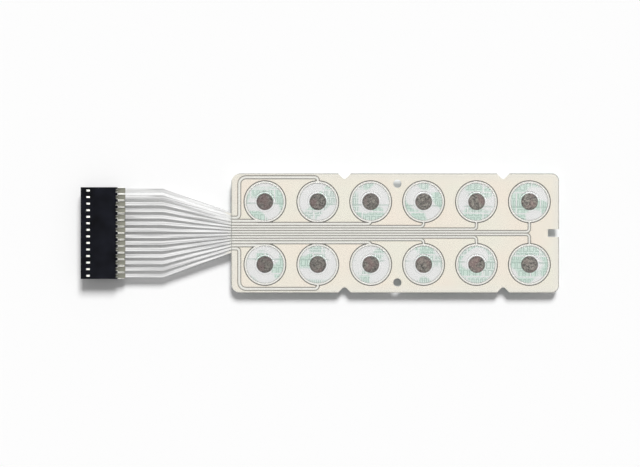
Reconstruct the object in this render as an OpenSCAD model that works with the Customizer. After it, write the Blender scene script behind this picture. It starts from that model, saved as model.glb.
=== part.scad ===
// Membrane keypad: thin films laminated into a panel with two rows of domed keys,
// a printed circuit that leaves along a flat tail, and a crimped socket connector.
// The rear face lies on z = 0, the keys face +Z and the tail leaves along -X.
// All sizes are in millimetres.

/* [Panel] */
// Length of the panel along X
panel_w = 127.4; // [115:0.2:140]
// Height of the panel along Y
panel_h = 46.4; // [45:0.2:60]
// Radius of the two corners on the tail side
corner_r_tail = 3.6; // [1:0.1:5]
// Radius of the two corners on the far side
corner_r_far = 2.8; // [1:0.1:5]
// Width of each V notch at the panel's edge
notch_w = 5.1; // [3:0.1:7]
// Radius at the bottom of each V notch
notch_r = 1.1; // [0.4:0.1:1.4]
// Depth of the slot in the far edge
slot_depth = 4.3; // [2:0.1:5]
// Width of the slot in the far edge
slot_w = 3.0; // [1.5:0.1:5]
// Diameter of the two locating holes
hole_d = 3.2; // [2:0.1:4]
// Distance of the locating holes from the long edges of the panel
hole_inset = 4.0; // [3:0.1:5]
// Distance of the notches and locating holes from the middle between two key columns
cutout_shift_x = 0.1; // [-1:0.1:1]

/* [Layers] */
// Thickness of the paper release liner
liner_t = 0.1; // [0.05:0.01:0.2]
// Thickness of the rear adhesive
adhesive_t = 0.1; // [0.05:0.01:0.2]
// Thickness of the circuit film and its tail
circuit_t = 0.125; // [0.075:0.005:0.25]
// Thickness of the printed conductors
ink_t = 0.02; // [0.01:0.005:0.04]
// Thickness of the adhesive spacer
spacer_t = 0.1; // [0.05:0.01:0.15]
// Thickness of the domed upper film
dome_t = 0.125; // [0.075:0.005:0.2]

/* [Keys] */
// Distance of the first key column from the tail side of the panel
key_inset_tail = 13.08; // [12.8:0.02:14]
// Distance of the last key column from the far side of the panel
key_inset_far = 11.48; // [10:0.02:14]
// Distance between key rows
key_pitch_y = 24.4; // [24:0.1:26]
// Radius where a dome starts to rise from the film
dome_r = 7.9; // [7:0.1:8.2]
// Radius where the steep rim of a dome ends
rim_r = 7.1; // [6:0.1:7.4]
// Height of the steep rim
rim_h = 0.26; // [0.1:0.01:0.28]
// Travel of a key until its pad is down
key_travel = 0.56; // [0.44:0.02:0.8]
// Gap left between a pressed pad and the contact below
press_gap = 0.02; // [0.01:0.01:0.05]
// Radius where the step up to the flat top starts
step_r = 4.0; // [3.95:0.05:5]
// Radius of the flat top
top_r = 3.4; // [3.3:0.05:3.9]
// Rise of the step up to the flat top
step_h = 0.14; // [0.05:0.01:0.15]
// Radius of a carbon contact pad
pad_r = 3.3; // [2.5:0.05:3.3]
// Thickness of a carbon contact pad
pad_t = 0.12; // [0.05:0.01:0.15]

/* [Circuit] */
// Gap between neighbouring conductors
trace_gap = 0.4; // [0.25:0.05:0.5]
// Distance between the gap lines of the middle traces
inner_pitch = 1.0; // [0.9:0.05:1.1]
// Distance between the gap lines of the outer traces
outer_pitch = 1.19; // [1:0.01:1.25]
// Outer radius of the printed ring round a key
ring_r = 7.95; // [7.7:0.05:8.2]
// Radius of the clear window inside the ring
window_r = 7.3; // [7:0.05:7.5]
// Radius of the opening in the spacer
spacer_hole_r = 7.15; // [6.8:0.05:7.4]
// Radius of the opening in the rear adhesive
adhesive_hole_r = 7.6; // [7.4:0.05:8]
// Centre line radius of a bend in a trace
bend_r = 1.2; // [0.8:0.1:1.6]
// Distance of the outer loop from the tail side of the panel
loop_inset_x = 3.1; // [2:0.1:3.5]
// Distance of the outer loop from the long edges of the panel
loop_inset_y = 1.5; // [1.2:0.1:1.7]
// Centre line radius of the loop's outer corner
loop_r = 2.6; // [1:0.1:3.5]
// Radius of a printed comb contact
comb_r = 3.0; // [2.5:0.1:3.2]
// Distance between the gaps of a comb contact
comb_pitch = 1.0; // [0.8:0.05:1.1]

/* [Tail] */
// Width of the tail at the connector
tail_w = 34.4; // [34:0.1:36]
// Width of the tail where it meets the panel
tail_root_w = 16.1; // [15.6:0.1:20]
// Length of the tapered stretch of the tail
taper_l = 26.6; // [20:0.1:40]
// Length of the straight stretch of the tail behind the housing
straight_l = 17.6; // [12:0.1:30]
// Width of a printed lead at the connector
lead_w = 1.45; // [1:0.05:1.6]

/* [Connector] */
// Distance between connector positions
lead_spacing = 2.54; // [2.5:0.01:2.6]
// Length of the housing along X
housing_l = 14.05; // [12:0.05:18]
// Height of the housing
housing_h = 2.6; // [2.5:0.05:3.5]
// Chamfer on the long edges of the housing
housing_chamfer = 0.2; // [0.1:0.05:0.25]
// Thickness of the wall at the mating face
face_wall = 0.8; // [0.5:0.1:1.2]
// Side of the square hole for a mating pin
pin_hole = 0.9; // [0.7:0.05:1.1]
// Widening of the pin hole at the mating face, on each side
pin_lead_in = 0.25; // [0.1:0.05:0.3]
// Distance of the latch windows from the mating face
latch_x = 2.05; // [1.6:0.05:3]
// Length of a latch window
latch_l = 1.55; // [1.2:0.05:2.5]
// Width of a latch window
latch_w = 0.8; // [0.5:0.05:1]
// Depth of the relief over each terminal at the rear edge
rear_relief = 0.5; // [0.2:0.05:1]

/* [Terminals] */
// Thickness of the terminal sheet metal
sheet_t = 0.2; // [0.15:0.01:0.22]
// Width of the socket box of a terminal
socket_w = 1.7; // [1.5:0.05:1.9]
// Height of the socket box of a terminal
socket_h = 1.6; // [1.4:0.05:1.7]
// Length of the socket box of a terminal
socket_l = 7.6; // [6:0.1:9]
// Clearance of a socket box in its cavity
cavity_clearance = 0.08; // [0.05:0.01:0.12]
// Width of the neck behind the socket box
neck_w = 1.3; // [1:0.05:1.5]
// Height of the side walls of the neck
neck_h = 0.6; // [0.4:0.05:0.8]
// Outside width of the open crimp barrel
barrel_w = 2.3; // [2.1:0.02:2.4]
// Height of the crimp barrel's walls
barrel_h = 0.9; // [0.6:0.05:1.2]
// Length of the crimp barrel
barrel_l = 2.6; // [2.4:0.05:4]
// Length of the crimp barrel's floor past its walls
barrel_lip = 0.3; // [0.1:0.05:0.5]
// Gap between the housing and the crimp barrels
barrel_gap = 0.1; // [0.05:0.05:0.3]
// Distance of a tine from the middle of its lead
tine_y = 0.45; // [0.3:0.05:0.5]
// Length of a tine through the film
tine_l = 0.5; // [0.3:0.05:0.7]
// Width of a tine where it pierces the film
tine_w = 0.2; // [0.1:0.02:0.24]
// Clearance of a tine in its slit
slit_clearance = 0.04; // [0.02:0.01:0.06]
// Thickness of the clinched end under the film
clinch_t = 0.12; // [0.08:0.01:0.15]
// Reach of the clinched end outwards under the film
clinch_l = 0.5; // [0.3:0.05:0.6]

/* [Hidden] */
$fn = 96;
COLUMNS = 6;
ROWS = 2;
KEYS = COLUMNS * ROWS;
// Leads of the ground plane, one along each side of the tail
GROUND_LEADS = 2;
PINS = KEYS + GROUND_LEADS;
// Traces on each side of the mid line that have the inner spacing
INNER_LANES = 3;
// Lane that each key column takes in the bundle, counted from the panel's mid line
COLUMN_LANE = [4, 5, 3, 2, 1, 0];
// Column whose trace loops round the panel's corner
LOOP_COLUMN = 1;
// Column whose ring touches its lane
TANGENT_COLUMN = 0;
// Lane of the ground plane's lead
OUTER_LANE = 6;
// Straight pieces in a bend of a trace and in a rise of a dome
BEND_STEPS = 5;
CURVE_STEPS = 4;
// Turn in degrees up to which a corner of a trace stays as it is
SOFT_TURN = 30;
// Length by which a cut runs past the face it opens
overshoot = 1;
// Length by which parts of one piece run into each other
join = 0.05;
// Width of the flat film round a dome that is made with it
brim = 0.3;
// Column gaps with a pair of notches, and the one with the locating holes
NOTCH_GAPS = [1, 4];
HOLE_GAP = 2;

adhesive_z = liner_t;
circuit_z = adhesive_z + adhesive_t;
ink_z = circuit_z + circuit_t;
spacer_z = ink_z + ink_t;
dome_z = spacer_z + spacer_t;
pad_z = spacer_z + press_gap + key_travel;
// Height of a dome's flat top above the film, with the pad under it
dome_h = pad_z + pad_t - dome_z;

panel_left = -panel_w / 2;
panel_right = panel_w / 2;
panel_top = panel_h / 2;
key_pitch_x = (panel_w - key_inset_tail - key_inset_far) / (COLUMNS - 1);
key_y = key_pitch_y / 2;

bend_x = panel_left - taper_l;
housing_rear = bend_x - straight_l;
housing_front = housing_rear - housing_l;
housing_w = PINS * lead_spacing;
tail_end = housing_rear + barrel_gap;
barrel_x = tail_end;
terminal_z = spacer_z;
socket_x = housing_front + face_wall + cavity_clearance;
cavity_w = socket_w + 2 * cavity_clearance;
cavity_h = socket_h + 2 * cavity_clearance;
cavity_z = terminal_z - cavity_clearance;
pin_z = terminal_z + socket_h / 2;
slit = [tine_l + 2 * slit_clearance, tine_w + 2 * slit_clearance];
tine_x = [barrel_x + barrel_l / 4, barrel_x + barrel_l * 3 / 4];

cream = "#efe8db";
trace_white = "#e4e2da";
film_clear = [0.9, 0.92, 0.92, 0.35];
carbon = "#6e6660";
tin = "#b9b8ae";

// Column and row of key number n, and the centre of a key
function column_of(n) = (n - 1) % COLUMNS;
function row_of(n) = floor((n - 1) / COLUMNS);
function key_x(c) = panel_left + key_inset_tail + c * key_pitch_x;
// X of a cut-out in the gap behind column c
function cutout_x(c) = (key_x(c) + key_x(c + 1)) / 2 + cutout_shift_x;

// Gap line number k above the mid line, and the trace between lines k and k + 1
function gap_line(k) =
    min(k, INNER_LANES) * inner_pitch + max(k - INNER_LANES, 0) * outer_pitch;
function lane_y(k) = (gap_line(k) + gap_line(k + 1)) / 2;
function lane_w(k) = gap_line(k + 1) - gap_line(k) - trace_gap;

// Corner b of the path a, b, c as an arc, limited by its two legs, unless it turns only a little
function unit(v) = v / norm(v);
function arc_corner(a, b, c) =
    let(
        u = unit(a - b),
        v = unit(c - b),
        half = acos(u * v) / 2,
        leg = min(bend_r / tan(half), norm(a - b) / 2, norm(c - b) / 2),
        r = leg * tan(half),
        centre = b + unit(u + v) * r / sin(half),
        p = b + u * leg - centre,
        q = b + v * leg - centre,
        turn = 180 - 2 * half
    )
    turn < SOFT_TURN ? [b]
    : [for (i = [0:BEND_STEPS])
        let(t = turn * i / BEND_STEPS)
        centre + (p * sin(turn - t) + q * sin(t)) / sin(turn)];

function round_path(pts) = [
    each [pts[0]],
    for (i = [1:1:len(pts) - 2]) each arc_corner(pts[i - 1], pts[i], pts[i + 1]),
    each [pts[len(pts) - 1]]
];

// Mitred offset of point i of a path, on its left for d above zero
function left_of(v) = [-v[1], v[0]];
function side_point(path, i, d) =
    let(
        last = len(path) - 1,
        before = unit(path[max(i, 1)] - path[max(i, 1) - 1]),
        after = unit(path[min(i, last - 1) + 1] - path[min(i, last - 1)]),
        n = unit(left_of(before) + left_of(after))
    )
    path[i] + n * d / (n * left_of(before));

module stroke(path, w) {
    last = len(path) - 1;
    polygon(concat(
        [for (i = [0:last]) side_point(path, i, -w / 2)],
        [for (i = [last:-1:0]) side_point(path, i, w / 2)]
    ));
}

// Route of a column's trace across the upper half of the panel
function trace_route(c) =
    let(y = lane_y(COLUMN_LANE[c]), x0 = panel_left - join)
    c == TANGENT_COLUMN ? [[x0, y], [key_x(c), y]]
    : c == LOOP_COLUMN ? loop_route(x0, y, key_x(c))
    : [[x0, y], [key_x(c), y], [key_x(c), key_y]];

function loop_route(x0, y, x1) =
    let(rise_x = panel_left + loop_inset_x, run_y = panel_top - loop_inset_y)
    [
        [x0, y],
        [rise_x, y],
        for (i = [0:BEND_STEPS])
            let(t = 90 * i / BEND_STEPS)
            [rise_x + loop_r * (1 - cos(t)), run_y - loop_r * (1 - sin(t))],
        [x1, run_y],
        [x1, key_y]
    ];

module trace_run(c, grow = 0) {
    stroke(round_path(trace_route(c)), lane_w(COLUMN_LANE[c]) + 2 * grow);
}

// Run and ring of a column's trace, grown by the gap for what lies round it
module trace_area(c, grow = 0) {
    trace_run(c, grow);
    translate([key_x(c), key_y]) circle(ring_r + grow);
}

// Lead along the tail, which narrows from its connector position to its lane
module tail_lead(k) {
    pin_y = (k + 0.5) * lead_spacing;
    y = lane_y(k);
    w = lane_w(k) / 2;
    x1 = panel_left + join;
    difference() {
        polygon([
            [tail_end, pin_y - lead_w / 2],
            [bend_x, pin_y - lead_w / 2],
            [x1, y - w],
            [x1, y + w],
            [bend_x, pin_y + lead_w / 2],
            [tail_end, pin_y + lead_w / 2]
        ]);
        translate([0, pin_y]) tine_slits();
    }
}

// The lower half of the circuit mirrors the upper half
module on_row(row) {
    mirror([0, row, 0]) children();
}

module at_keys() {
    for (row = [0:ROWS - 1], c = [0:COLUMNS - 1])
        on_row(row) translate([key_x(c), key_y]) children();
}

// Outline of the panel, with its notches, slot and locating holes
module corner_disc(x, y, r) {
    translate([x - sign(x) * r, y - sign(y) * r]) circle(r);
}

module panel_blank() {
    t = corner_r_tail;
    f = corner_r_far;
    polygon([
        [panel_left + t, -panel_top],
        [panel_right - f, -panel_top],
        [panel_right, -panel_top + f],
        [panel_right, panel_top - f],
        [panel_right - f, panel_top],
        [panel_left + t, panel_top],
        [panel_left, panel_top - t],
        [panel_left, -panel_top + t]
    ]);
    for (y = [-panel_top, panel_top]) {
        corner_disc(panel_left, y, t);
        corner_disc(panel_right, y, f);
    }
}

module v_notch() {
    middle = notch_w / 2 - notch_r * sqrt(2);
    touch = notch_r / sqrt(2);
    polygon([
        [-notch_w / 2 - overshoot, overshoot],
        [-touch, -middle - touch],
        [touch, -middle - touch],
        [notch_w / 2 + overshoot, overshoot]
    ]);
    translate([0, -middle]) circle(notch_r);
}

module panel_outline() {
    difference() {
        panel_blank();
        for (row = [0:ROWS - 1], c = NOTCH_GAPS)
            on_row(row) translate([cutout_x(c), panel_top]) v_notch();
        translate([panel_right - slot_depth, -slot_w / 2])
            square([slot_depth + overshoot, slot_w]);
        for (row = [0:ROWS - 1])
            on_row(row) translate([cutout_x(HOLE_GAP), panel_top - hole_inset]) circle(d = hole_d);
    }
}

module layer(z, t) {
    translate([0, 0, z]) linear_extrude(t) children();
}

module release_liner() {
    color("#e6ece6") layer(0, liner_t) panel_outline();
}

module rear_adhesive() {
    color("#8a857b") layer(adhesive_z, adhesive_t) difference() {
        panel_outline();
        at_keys() circle(adhesive_hole_r);
    }
}

module tail_outline() {
    x1 = panel_left + corner_r_tail;
    polygon([
        [tail_end, -tail_w / 2],
        [bend_x, -tail_w / 2],
        [panel_left, -tail_root_w / 2],
        [x1, -tail_root_w / 2],
        [x1, tail_root_w / 2],
        [panel_left, tail_root_w / 2],
        [bend_x, tail_w / 2],
        [tail_end, tail_w / 2]
    ]);
}

// Slits for one terminal's tines, two on each side of its lead's middle
module tine_slits() {
    for (x = tine_x, s = [-1, 1]) translate([x, s * tine_y]) square(slit, center = true);
}

module at_pins() {
    for (n = [1:PINS]) translate([0, pin_row_y(n)]) children();
}

function pin_row_y(n) = ((PINS + 1) / 2 - n) * lead_spacing;

module circuit_film() {
    color(film_clear) layer(circuit_z, circuit_t) difference() {
        union() {
            panel_outline();
            tail_outline();
        }
        at_pins() tine_slits();
    }
}

module ground_plane() {
    color(cream) layer(ink_z, ink_t) {
        difference() {
            panel_outline();
            for (row = [0:ROWS - 1], c = [0:COLUMNS - 1])
                on_row(row) trace_area(c, trace_gap);
        }
        for (row = [0:ROWS - 1]) on_row(row) tail_lead(OUTER_LANE);
    }
}

module key_trace(n) {
    c = column_of(n);
    color(trace_white) layer(ink_z, ink_t) on_row(row_of(n)) {
        difference() {
            trace_area(c);
            translate([key_x(c), key_y]) circle(window_r);
            for (other = [0:COLUMNS - 1])
                if (other != c) trace_run(other, trace_gap);
        }
        tail_lead(COLUMN_LANE[c]);
    }
}

// Gap that winds across a comb contact and parts it into two halves
function comb_route() =
    let(reach = comb_r - comb_pitch, out = comb_r + overshoot, p = comb_pitch)
    [[-out, -p], [reach, -p], [reach, 0], [-reach, 0], [-reach, p], [out, p]];

module fixed_contacts() {
    color(trace_white) layer(ink_z, ink_t) at_keys() difference() {
        circle(comb_r);
        stroke(comb_route(), trace_gap);
    }
}

module spacer() {
    color(cream, 0.5) layer(spacer_z, spacer_t) difference() {
        panel_outline();
        at_keys() circle(spacer_hole_r);
    }
}

// Smooth rise between two points of the dome profile
function rise(r0, z0, r1, z1) = [
    for (i = [0:CURVE_STEPS])
        let(t = i / CURVE_STEPS)
        [r0 + (r1 - r0) * t, z0 + (z1 - z0) * (1 - cos(180 * t)) / 2]
];

function dome_profile() = concat(
    rise(dome_r, 0, rim_r, rim_h),
    rise(step_r, dome_h - step_h, top_r, dome_h)
);

// One formed dome: the same profile above and below, one film thickness apart,
// with a flat brim that runs into the film round it
module dome() {
    below = concat([[dome_r + brim, 0]], dome_profile(), [[0, dome_h]]);
    last = len(below) - 1;
    rotate_extrude() polygon(concat(
        [for (i = [last:-1:0]) below[i]],
        [for (p = below) p + [0, dome_t]]
    ));
}

module dome_film() {
    color(film_clear) {
        layer(dome_z, dome_t) difference() {
            panel_outline();
            at_keys() circle(dome_r + brim / 2);
        }
        at_keys() translate([0, 0, dome_z]) dome();
    }
}

module contact_pad(n) {
    color(carbon) on_row(row_of(n)) translate([key_x(column_of(n)), key_y, pad_z])
        cylinder(r = pad_r, h = pad_t);
}

// Section of the housing along the tail, with chamfered long edges
module housing_section() {
    c = housing_chamfer;
    x0 = housing_front;
    x1 = housing_rear;
    h = housing_h;
    polygon([
        [x0 + c, 0], [x1 - c, 0], [x1, c], [x1, h - c],
        [x1 - c, h], [x0 + c, h], [x0, h - c], [x0, c]
    ]);
}

module cavity_box(x0, x1, w, z0, h) {
    translate([x0, -w / 2, z0]) cube([x1 - x0, w, h]);
}

module terminal_cavity() {
    out = housing_rear + overshoot;
    cavity_box(housing_front + face_wall, out, cavity_w, cavity_z, cavity_h);
    cavity_box(housing_rear - rear_relief, out, cavity_w, cavity_z, housing_h);
    pin_mouth = pin_hole + 2 * pin_lead_in;
    cavity_box(housing_front - overshoot, housing_front + face_wall + overshoot, pin_hole,
        pin_z - pin_hole / 2, pin_hole);
    cavity_box(housing_front - overshoot, housing_front + pin_lead_in, pin_mouth,
        pin_z - pin_mouth / 2, pin_mouth);
    cavity_box(housing_front + latch_x, housing_front + latch_x + latch_l, latch_w, pin_z, housing_h);
}

module connector_housing() {
    color("#1c1c22") difference() {
        translate([0, housing_w / 2, 0]) rotate([90, 0, 0])
            linear_extrude(housing_w) housing_section();
        at_pins() terminal_cavity();
    }
}

// Flat latch that stands up from the socket box into the housing's window
module terminal_latch() {
    x0 = housing_front + latch_x + cavity_clearance;
    x1 = x0 + latch_l - 2 * cavity_clearance;
    z0 = terminal_z + socket_h;
    w = latch_w - 2 * cavity_clearance;
    top = housing_h - sheet_t;
    translate([0, w / 2, 0]) rotate([90, 0, 0]) linear_extrude(w)
        polygon([
            [x0, z0 - sheet_t],
            [x1, z0 - sheet_t],
            [x1, top],
            [x0 + sheet_t, top],
            [x0, top - sheet_t]
        ]);
}

// U-shaped channel along X, open upwards
module channel(x0, x1, w, h) {
    difference() {
        cavity_box(x0, x1, w, terminal_z, h);
        cavity_box(x0 - overshoot, x1 + overshoot, w - 2 * sheet_t, terminal_z + sheet_t, h);
    }
}

// Tine that pierces the film on the +Y side and is clinched outwards below it
module tine(x) {
    below = circuit_z - clinch_t;
    translate([x - tine_l / 2, tine_y - tine_w / 2, below]) {
        cube([tine_l, tine_w, terminal_z + join - below]);
        cube([tine_l, clinch_l, clinch_t]);
    }
}

module terminal(n) {
    socket_end = socket_x + socket_l;
    barrel_end = barrel_x + barrel_l;
    color(tin) translate([0, pin_row_y(n), 0]) {
        difference() {
            cavity_box(socket_x, socket_end, socket_w, terminal_z, socket_h);
            cavity_box(socket_x - overshoot, socket_end + overshoot, socket_w - 2 * sheet_t,
                terminal_z + sheet_t, socket_h - 2 * sheet_t);
        }
        terminal_latch();
        channel(socket_end - join, barrel_x + join, neck_w, neck_h);
        channel(barrel_x, barrel_end, barrel_w, barrel_h);
        cavity_box(barrel_end - join, barrel_end + barrel_lip, barrel_w - 2 * sheet_t, terminal_z, sheet_t);
        for (side = [0, 1]) mirror([0, side, 0]) {
            translate([barrel_x, (barrel_w - sheet_t) / 2, terminal_z + barrel_h])
                rotate([0, 90, 0]) cylinder(d = sheet_t, h = barrel_l, $fn = 24);
            for (x = tine_x) tine(x);
        }
    }
}

release_liner();
rear_adhesive();
circuit_film();
ground_plane();
for (n = [1:KEYS]) key_trace(n);
fixed_contacts();
spacer();
dome_film();
for (n = [1:KEYS]) contact_pad(n);
connector_housing();
for (n = [1:PINS]) terminal(n);
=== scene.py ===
import math

import bmesh
import bpy
from bpy.props import FloatProperty, FloatVectorProperty, IntProperty, PointerProperty
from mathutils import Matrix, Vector, noise


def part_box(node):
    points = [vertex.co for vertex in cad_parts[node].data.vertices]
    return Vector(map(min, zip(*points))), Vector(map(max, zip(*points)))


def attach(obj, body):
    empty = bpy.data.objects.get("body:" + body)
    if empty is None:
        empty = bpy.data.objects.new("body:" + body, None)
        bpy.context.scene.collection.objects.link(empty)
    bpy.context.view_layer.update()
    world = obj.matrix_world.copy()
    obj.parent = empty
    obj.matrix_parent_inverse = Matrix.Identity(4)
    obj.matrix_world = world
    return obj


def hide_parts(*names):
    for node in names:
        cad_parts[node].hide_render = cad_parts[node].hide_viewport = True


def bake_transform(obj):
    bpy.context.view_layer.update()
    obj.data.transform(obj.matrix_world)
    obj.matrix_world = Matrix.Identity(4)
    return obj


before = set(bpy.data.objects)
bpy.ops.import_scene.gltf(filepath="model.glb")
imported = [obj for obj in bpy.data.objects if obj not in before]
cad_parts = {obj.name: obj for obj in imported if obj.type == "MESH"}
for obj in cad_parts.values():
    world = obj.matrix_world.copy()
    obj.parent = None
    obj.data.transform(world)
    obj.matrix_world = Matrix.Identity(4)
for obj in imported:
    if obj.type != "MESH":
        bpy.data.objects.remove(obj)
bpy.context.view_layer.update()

bl_info = {
    "name": "Membrane Keypad",
    "version": (1, 0, 0),
    "blender": (4, 5, 0),
    "location": "View3D > Sidebar > Keypad",
    "description": "Films, printed inks, formed domes and connector of a membrane keypad",
    "category": "Object",
}

MM = 0.001
# Points closer than this lie at one place
SAME = 0.001 * MM
BASE_BODY = "laminate"
IMAGE_WIDTH = 640
WHITE = (1.0, 1.0, 1.0, 1.0)


def numbered(prefix):
    """The CAD nodes whose names are prefix and a number, in the order of their numbers."""
    found = [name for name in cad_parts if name.startswith(prefix)]
    return sorted(found, key=lambda name: int(name[len(prefix):]))


def centre_of(node):
    """The middle of a CAD node's box."""
    low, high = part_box(node)
    return (low + high) / 2


PADS = numbered("contact_pad_")
TRACES = numbered("key_trace_")
TERMINALS = numbered("terminal_")
KEY_SPACING = (centre_of(PADS[1]) - centre_of(PADS[0])).length
LEAD_SPACING = (centre_of(TERMINALS[1]) - centre_of(TERMINALS[0])).length


def tail_shape():
    """The X of the tail's root and of its bend, and its half width at each."""
    film = [vertex.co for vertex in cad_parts["circuit_film"].data.vertices]
    root_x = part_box("release_liner")[0].x
    tail = [point for point in film if point.x < root_x - MM]
    root = min(abs(point.y) for point in film if abs(point.x - root_x) < SAME)
    wide = max(abs(point.y) for point in tail)
    bend_x = max(point.x for point in tail if abs(point.y) > wide - SAME)
    return root_x, bend_x, root, wide


ROOT_X, BEND_X, ROOT_HALF, TAIL_HALF = tail_shape()


def corner_radius():
    """The radius of the panel's round corners."""
    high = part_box("release_liner")[1]
    points = [vertex.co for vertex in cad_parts["release_liner"].data.vertices]
    return high.x - max(point.x for point in points if high.y - point.y < SAME)


CORNER_R = corner_radius()


def linear(code):
    """An sRGB hex colour as linear red, green, blue and alpha."""
    shares = [int(code[i:i + 2], 16) / 255 for i in (1, 3, 5)]
    return [s / 12.92 if s <= 0.04045 else ((s + 0.055) / 1.055) ** 2.4 for s in shares] + [1.0]


def length(name, description, millimetres):
    """A length property with its default in millimetres."""
    return FloatProperty(name=name, description=description, default=millimetres * MM,
                         min=0.0, precision=6, subtype="DISTANCE", unit="LENGTH")


def angle(name, description, degrees):
    """An angle property with its default in degrees."""
    return FloatProperty(name=name, description=description, default=math.radians(degrees),
                         subtype="ANGLE")


def colour(name, description, code):
    """A colour property with its default as an sRGB hex value."""
    return FloatVectorProperty(name=name, description=description, default=linear(code),
                               size=4, min=0.0, max=1.0, subtype="COLOR")


class KeypadSizes(bpy.types.PropertyGroup):
    """Sizes of what is added to the CAD parts, of their patterns and of the studio"""

    film_gap: length("Film gap", "Gap left at the faces of a clear film so that it shares no face", 0.006)
    dome_segments: IntProperty(name="Dome segments", description="Sides of a dome's and a pad's circle",
                               default=96, min=24)
    dome_steps: IntProperty(name="Dome steps", description="Rings between two points of the dome's profile",
                            default=3, min=1)
    step_width: length("Step width", "Width of the step round a dome's flat top", 0.6)
    cut_width: length("Cut width", "Width of the grey line at the spacer's openings", 0.2)
    # The grey line at the foot of a dome's step is painted shade
    step_shade_width: length("Crease width", "Width of the grey line at the foot of a dome's step", 0.18)
    pad_rings: IntProperty(name="Pad rings", description="Rings of a contact pad's upper face",
                           default=16, min=4)
    pad_ragged: length("Ragged pad edge", "Depth of the bites in the edge of a contact pad", 0.08)
    pad_grain: length("Pad grain", "Depth of the grain on a contact pad", 0.02)
    pad_rim_start: length("Pad rim, start", "Distance from a pad's middle at which its rim darkens", 2.4)
    pad_rim_full: length("Pad rim, full", "Distance from a pad's middle at which its rim is darkest", 3.1)
    border_start: length("Border, start", "Distance from the panel's edge at which its border starts", 3.5)
    border_full: length("Border, full", "Distance from the panel's edge at which its border is full", 0.8)
    # The dark ring of the adhesive round each key is painted shade
    dark_ring: length("Dark ring", "Distance from a key's middle within which the adhesive is dark", 8.4)
    dark_fade: length("Dark ring, fade", "Width over which the dark of the adhesive fades", 0.5)
    print_box_width: length("Print box, width", "Width of a pale box of the liner's print", 9.4)
    print_box_height: length("Print box, height", "Height of a pale box of the liner's print", 8.2)
    print_block_width: length("Print block, width", "Width of a block of the liner's print", 2.4)
    print_row_height: length("Print row", "Height of a row of blocks of the liner's print", 3.4)
    rule_spacing: length("Rule spacing", "Distance between two rules of the liner's print", 10.84)
    riser_height: length("Riser height", "Height of the studio blocks that hold the part off the floor", 3.0)
    riser_inset: length("Riser inset", "Distance of a block from the edge of what it carries", 7.0)
    floor_reach: length("Floor reach", "Distance of the floor's edges from the panel's middle", 2000.0)
    pixel: length("Pixel", "Size of one pixel of the picture on the panel", 0.38884)
    camera_x: length("Camera X", "Distance of the camera towards the tail from the panel's middle", 29.2)
    camera_y: length("Camera Y", "Distance of the camera below the panel's middle", 0.16)
    lens: FloatProperty(name="Lens", description="Focal length of the camera in millimetres", default=85.0)
    sun_height: angle("Sun height", "Angle of the main light above the floor", 43)
    sun_turn: angle("Sun turn", "Angle of the main light from +Y towards +X", 12)
    sun_spread: angle("Sun spread", "Angle that the soft main light fills", 22)
    box_low: angle("Soft box, low", "Angle of the soft box's lower edge above the floor", 46)
    box_high: angle("Soft box, high", "Angle of the soft box's upper edge above the floor", 75)
    sun_energy: FloatProperty(name="Sun energy", description="Strength of the main light", default=3.2)
    fill_level: FloatProperty(name="Fill", description="Strength of the sky's even fill", default=0.305)
    white_level: FloatProperty(name="White", description="Strength of the sky that camera and gloss see",
                               default=0.95)
    box_level: FloatProperty(name="Soft box, level", description="Strength that the soft box adds to it",
                             default=6.0)


class KeypadColours(bpy.types.PropertyGroup):
    """Colours of the keypad's materials"""

    ground_warm: colour("Ground, warm", "Warm patches of the cream ground", "#EEE3D5")
    ground_cool: colour("Ground, cool", "Cool patches of the cream ground", "#E9E6D8")
    ground_border: colour("Ground, border", "Border of the cream ground along the panel's edges", "#E6E3D9")
    trace: colour("Trace", "Printed silver-white conductors", "#E6E5DF")
    lead: colour("Lead", "Printed leads of the tail", "#F7F7F6")
    lead_streak: colour("Lead streak", "Streaks along the leads of the tail", "#B2B2B2")
    adhesive: colour("Adhesive", "Grey adhesive seen between the conductors", "#959289")
    # Painted shade in a ring round each key, not a colour of the adhesive
    adhesive_ring_shade: colour("Adhesive edge", "Dark edge of the adhesive round a key", "#46433C")
    paper: colour("Paper", "Release liner", "#E2E2E1")
    paper_wash: colour("Paper wash", "Pale green boxes of the liner's print", "#C9DCD1")
    paper_print: colour("Paper print", "Green blocks and rules of the liner's print", "#8BA89B")
    film: colour("Film", "Haze of the clear films", "#F2F3F0")
    # At the foot of a dome's step this grey is painted shade
    film_line: colour("Film line", "Grey line at a cut edge or crease of a film", "#6E706C")
    spacer: colour("Spacer", "Tint of the spacer", "#E9E3D6")
    pad_dark: colour("Pad, dark", "Carbon of the contact pads", "#25231F")
    pad_light: colour("Pad, light", "Pale specks of the contact pads", "#918B82")
    pad_red: colour("Pad, red", "Reddish stains of the contact pads", "#765C5A")
    housing: colour("Housing", "Black nylon of the connector", "#0E0F14")
    # One tin plate: the bright colour is a painted highlight on the edges, the dull one painted shade in the
    # channels
    tin_highlight: colour("Tin, bright", "Tin plate on the edges of the terminals", "#F8F7F0")
    tin_channel_shade: colour("Tin, dull", "Tin plate in the channels of the terminals", "#76766C")
    floor: colour("Floor", "Studio floor", "#FDFDFD")


def per_mm(size):
    """The scale of a pattern whose features are this many millimetres across."""
    return 1 / (size * MM)


def add(tree, kind, inputs=None, **settings):
    """Adds a node with its settings, and sets or links its inputs."""
    made = tree.nodes.new(kind)
    for name, value in settings.items():
        setattr(made, name, value)
    for socket, value in (inputs or {}).items():
        if isinstance(value, bpy.types.NodeSocket):
            tree.links.new(value, made.inputs[socket])
        else:
            made.inputs[socket].default_value = value
    return made


def start_material(name):
    """A new node material and its empty tree."""
    material = bpy.data.materials.new(name)
    material.use_nodes = True
    material.node_tree.nodes.clear()
    return material, material.node_tree


# Inputs and output of a Mix node that mixes colours
FACTOR, FIRST, SECOND, MIXED = 0, 6, 7, 2


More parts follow.
